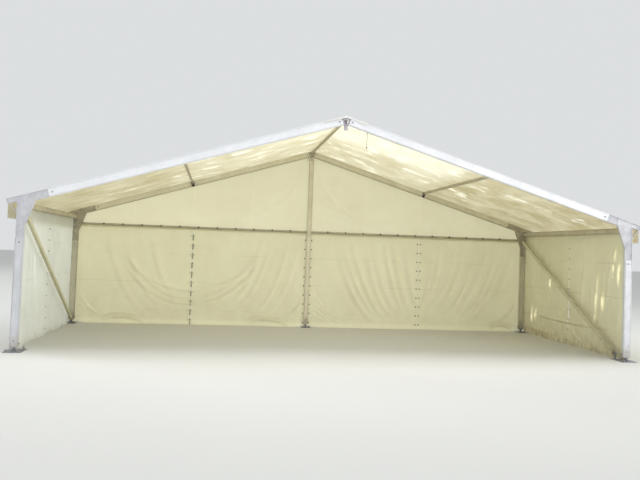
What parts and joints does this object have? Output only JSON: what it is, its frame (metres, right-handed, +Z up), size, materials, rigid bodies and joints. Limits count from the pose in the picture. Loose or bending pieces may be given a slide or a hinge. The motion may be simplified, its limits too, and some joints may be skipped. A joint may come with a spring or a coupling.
{
  "type": "frame marquee",
  "caption": "One-bay frame marquee: aluminium portal frames on steel base plates, with a pitched coated roof, laced rear and side walls, and an open front gable.",
  "frame": {"origin": "on the ground at the centre of the footprint", "axes": "+X across the span to the right as seen from the open front, +Y towards the rear wall, +Z up"},
  "size_m": [10.3252, 5.3, 3.8787],
  "materials": {
    "portal_profile": "mill finish, weathered",
    "steel_fittings": "galvanised, dulled",
    "base_steel": "galvanised, muddy and scuffed",
    "tube_aluminium": "mill finish, dulled",
    "roof_cloth": "coated cloth, creased, semi-gloss",
    "wall_cloth": "coated cloth, creased, dusty at the hem"
  },
  "bodies": {
    "root": {"front_left_leg": "portal_profile", "front_right_leg": "portal_profile", "rear_left_leg": "portal_profile", "rear_right_leg": "portal_profile", "front_left_rafter": "portal_profile", "front_right_rafter": "portal_profile", "rear_left_rafter": "portal_profile", "rear_right_rafter": "portal_profile", "front_left_knee": "steel_fittings", "front_right_knee": "steel_fittings", "rear_left_knee": "steel_fittings", "rear_right_knee": "steel_fittings", "front_ridge_connector": "steel_fittings", "rear_ridge_connector": "steel_fittings", "front_left_base_plate": "base_steel", "front_right_base_plate": "base_steel", "rear_left_base_plate": "base_steel", "rear_right_base_plate": "base_steel", "rear_upright_base_plate": "base_steel", "ridge_purlin": "tube_aluminium", "left_middle_purlin": "tube_aluminium", "right_middle_purlin": "tube_aluminium", "left_eave_purlin": "tube_aluminium", "right_eave_purlin": "tube_aluminium", "rear_gable_upright": "tube_aluminium", "rear_left_transom": "tube_aluminium", "rear_right_transom": "tube_aluminium", "left_wall_brace": "tube_aluminium", "right_wall_brace": "tube_aluminium", "roof_sheet": "roof_cloth", "left_valance": "roof_cloth", "right_valance": "roof_cloth", "rear_gable_sheet": "wall_cloth", "rear_wall_panel_1": "wall_cloth", "rear_wall_panel_2": "wall_cloth", "rear_wall_panel_3": "wall_cloth", "rear_wall_panel_4": "wall_cloth", "left_wall_panel_front": "wall_cloth", "left_wall_panel_rear": "wall_cloth", "right_wall_panel_front": "wall_cloth", "right_wall_panel_rear": "wall_cloth"}
  },
  "joints": []
}
